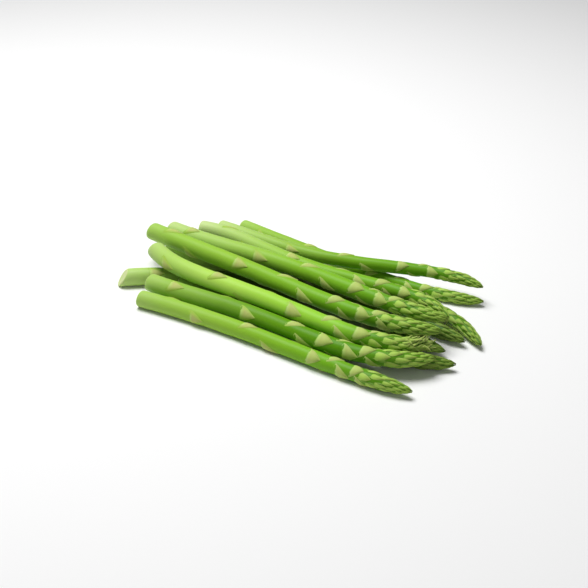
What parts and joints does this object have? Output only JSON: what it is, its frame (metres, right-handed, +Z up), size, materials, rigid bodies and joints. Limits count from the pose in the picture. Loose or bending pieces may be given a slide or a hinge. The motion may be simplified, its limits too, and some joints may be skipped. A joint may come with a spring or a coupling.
{
  "type": "bundle of asparagus",
  "caption": "Loose bundle of asparagus spears lying on its side, tapering stalks with triangular bracts and pointed scaly heads all to one end.",
  "frame": {"origin": "centre of the bounding box in plan, at the table under the bundle", "axes": "+X along the spears to their tips, +Z up from the table, +Y across the bundle"},
  "size_m": [0.2494, 0.1418, 0.0286],
  "materials": {
    "asparagus_green": "satin"
  },
  "bodies": {
    "root": {"spear_far_low": "asparagus_green", "spear_curled_tip_low": "asparagus_green", "spear_middle_far_low": "asparagus_green", "spear_long_butt_low": "asparagus_green", "spear_middle_near_low": "asparagus_green", "spear_near_low": "asparagus_green", "spear_near_high": "asparagus_green", "spear_far_high": "asparagus_green", "spear_pale_butt_high": "asparagus_green", "spear_frayed_tip_high": "asparagus_green", "spear_top_far": "asparagus_green", "spear_top_near": "asparagus_green"}
  },
  "joints": []
}
